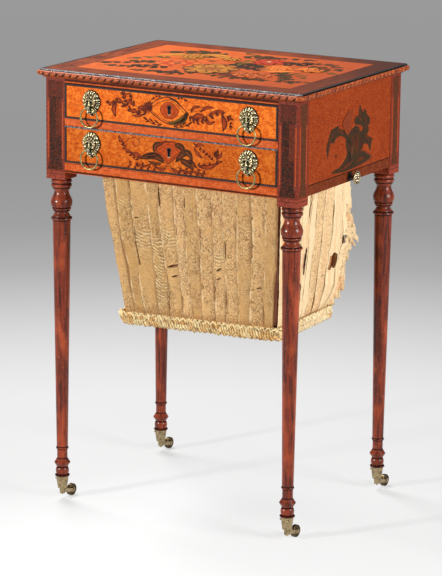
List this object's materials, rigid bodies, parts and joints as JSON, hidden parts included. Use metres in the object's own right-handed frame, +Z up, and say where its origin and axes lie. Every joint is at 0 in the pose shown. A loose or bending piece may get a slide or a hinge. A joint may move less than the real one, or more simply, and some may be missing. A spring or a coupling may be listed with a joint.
{
  "type": "work table",
  "caption": "Small standing work table with drawers in the front, a cloth work bag on a slide below them, and turned legs on swivel casters.",
  "frame": {"origin": "on the floor under the middle of the top", "axes": "+Z up, -Y towards the drawer fronts, +X the way the bag's slide pulls out"},
  "size_m": [0.4995, 0.3935, 0.738],
  "materials": {
    "polished_mahogany": "french polished",
    "satinwood_marquetry": "polished, inlaid",
    "red_satinwood": "polished veneer",
    "dark_crossbanding": "polished veneer",
    "ebonised_wood": "polished black",
    "back_wood": "plain polished",
    "plain_oak": "unpolished",
    "bag_board": "plain board",
    "antique_brass": "aged, rubbed bright on the high spots",
    "tan_silk": "figured silk, worn",
    "ruched_braid": "ruched silk braid"
  },
  "bodies": {
    "root": {"top_board": "polished_mahogany", "top_field": "satinwood_marquetry", "top_crossband": "dark_crossbanding", "top_edge_bead": "ebonised_wood", "top_rope_moulding": "polished_mahogany", "leg_front_left": "polished_mahogany", "leg_front_right": "polished_mahogany", "leg_back_left": "polished_mahogany", "leg_back_right": "polished_mahogany", "side_panel_left": "red_satinwood", "side_panel_right": "red_satinwood", "back_panel": "back_wood", "front_top_rail": "red_satinwood", "front_middle_rail": "red_satinwood", "front_bottom_rail": "red_satinwood", "drawer_runners": "plain_oak", "kicker_strips": "plain_oak", "drawer_stops": "plain_oak", "bag_runners": "plain_oak", "caster_cups": "antique_brass", "caster_screws": "antique_brass", "side_lock": "antique_brass", "side_escutcheon": "antique_brass"},
    "upper_drawer": {"upper_drawer_front": "satinwood_marquetry", "upper_drawer_sides": "plain_oak", "upper_drawer_back": "plain_oak", "upper_drawer_bottom": "plain_oak", "upper_drawer_beading": "ebonised_wood", "upper_masks": "antique_brass", "upper_lock": "antique_brass", "upper_escutcheon": "antique_brass"},
    "lower_drawer": {"lower_drawer_front": "satinwood_marquetry", "lower_drawer_sides": "plain_oak", "lower_drawer_back": "plain_oak", "lower_drawer_bottom": "plain_oak", "lower_drawer_beading": "ebonised_wood", "lower_masks": "antique_brass", "lower_lock": "antique_brass", "lower_escutcheon": "antique_brass"},
    "upper_bolt": {"upper_lock_bolt": "antique_brass"},
    "lower_bolt": {"lower_lock_bolt": "antique_brass"},
    "upper_left_ring": {"upper_left_ring": "antique_brass"},
    "upper_right_ring": {"upper_right_ring": "antique_brass"},
    "lower_left_ring": {"lower_left_ring": "antique_brass"},
    "lower_right_ring": {"lower_right_ring": "antique_brass"},
    "bag_slide": {"bag_slide_front": "red_satinwood", "bag_slide_frame": "plain_oak", "bag_knob": "antique_brass", "bag_silk": "tan_silk", "bag_bottom": "bag_board", "bag_braid": "ruched_braid"},
    "side_bolt": {"side_lock_bolt": "antique_brass"},
    "horn_front_left": {"horn_front_left": "antique_brass"},
    "wheel_front_left": {"wheel_front_left": "antique_brass"},
    "horn_front_right": {"horn_front_right": "antique_brass"},
    "wheel_front_right": {"wheel_front_right": "antique_brass"},
    "horn_back_left": {"horn_back_left": "antique_brass"},
    "wheel_back_left": {"wheel_back_left": "antique_brass"},
    "horn_back_right": {"horn_back_right": "antique_brass"},
    "wheel_back_right": {"wheel_back_right": "antique_brass"}
  },
  "joints": [
    {"name": "upper_drawer_slide", "type": "slide", "parent": "root", "child": "upper_drawer", "axis": [0, -1, 0], "range_m": [0, 0.24]},
    {"name": "lower_drawer_slide", "type": "slide", "parent": "root", "child": "lower_drawer", "axis": [0, -1, 0], "range_m": [0, 0.24]},
    {"name": "bag_slide_out", "type": "slide", "parent": "root", "child": "bag_slide", "axis": [1, 0, 0], "range_m": [0, 0.28]},
    {"name": "upper_left_ring_swing", "type": "hinge", "parent": "upper_drawer", "child": "upper_left_ring", "pos_m": [-0.146, -0.1895, 0.681], "axis": [-1, 0, 0], "range_deg": [-8, 85]},
    {"name": "upper_right_ring_swing", "type": "hinge", "parent": "upper_drawer", "child": "upper_right_ring", "pos_m": [0.146, -0.1895, 0.681], "axis": [-1, 0, 0], "range_deg": [-8, 85]},
    {"name": "lower_left_ring_swing", "type": "hinge", "parent": "lower_drawer", "child": "lower_left_ring", "pos_m": [-0.146, -0.1895, 0.612], "axis": [-1, 0, 0], "range_deg": [-8, 85]},
    {"name": "lower_right_ring_swing", "type": "hinge", "parent": "lower_drawer", "child": "lower_right_ring", "pos_m": [0.146, -0.1895, 0.612], "axis": [-1, 0, 0], "range_deg": [-8, 85]},
    {"name": "upper_bolt_throw", "type": "slide", "parent": "upper_drawer", "child": "upper_bolt", "axis": [0, 0, 1], "range_m": [0, 0.005]},
    {"name": "lower_bolt_throw", "type": "slide", "parent": "lower_drawer", "child": "lower_bolt", "axis": [0, 0, 1], "range_m": [0, 0.005]},
    {"name": "side_bolt_throw", "type": "slide", "parent": "root", "child": "side_bolt", "axis": [0, 0, -1], "range_m": [0, 0.005]},
    {"name": "swivel_front_left", "type": "hinge", "parent": "root", "child": "horn_front_left", "pos_m": [-0.216, -0.163, 0.03], "axis": [0, 0, 1], "continuous": true},
    {"name": "swivel_front_right", "type": "hinge", "parent": "root", "child": "horn_front_right", "pos_m": [0.216, -0.163, 0.03], "axis": [0, 0, 1], "continuous": true},
    {"name": "swivel_back_left", "type": "hinge", "parent": "root", "child": "horn_back_left", "pos_m": [-0.216, 0.163, 0.03], "axis": [0, 0, 1], "continuous": true},
    {"name": "swivel_back_right", "type": "hinge", "parent": "root", "child": "horn_back_right", "pos_m": [0.216, 0.163, 0.03], "axis": [0, 0, 1], "continuous": true},
    {"name": "roll_front_left", "type": "hinge", "parent": "horn_front_left", "child": "wheel_front_left", "pos_m": [-0.21382, -0.1381, 0.0104], "axis": [-0.9962, 0.0872, 0], "continuous": true},
    {"name": "roll_front_right", "type": "hinge", "parent": "horn_front_right", "child": "wheel_front_right", "pos_m": [0.21818, -0.1381, 0.0104], "axis": [-0.9962, 0.0872, 0], "continuous": true},
    {"name": "roll_back_left", "type": "hinge", "parent": "horn_back_left", "child": "wheel_back_left", "pos_m": [-0.21382, 0.1879, 0.0104], "axis": [-0.9962, 0.0872, 0], "continuous": true},
    {"name": "roll_back_right", "type": "hinge", "parent": "horn_back_right", "child": "wheel_back_right", "pos_m": [0.21818, 0.1879, 0.0104], "axis": [-0.9962, 0.0872, 0], "continuous": true}
  ]
}
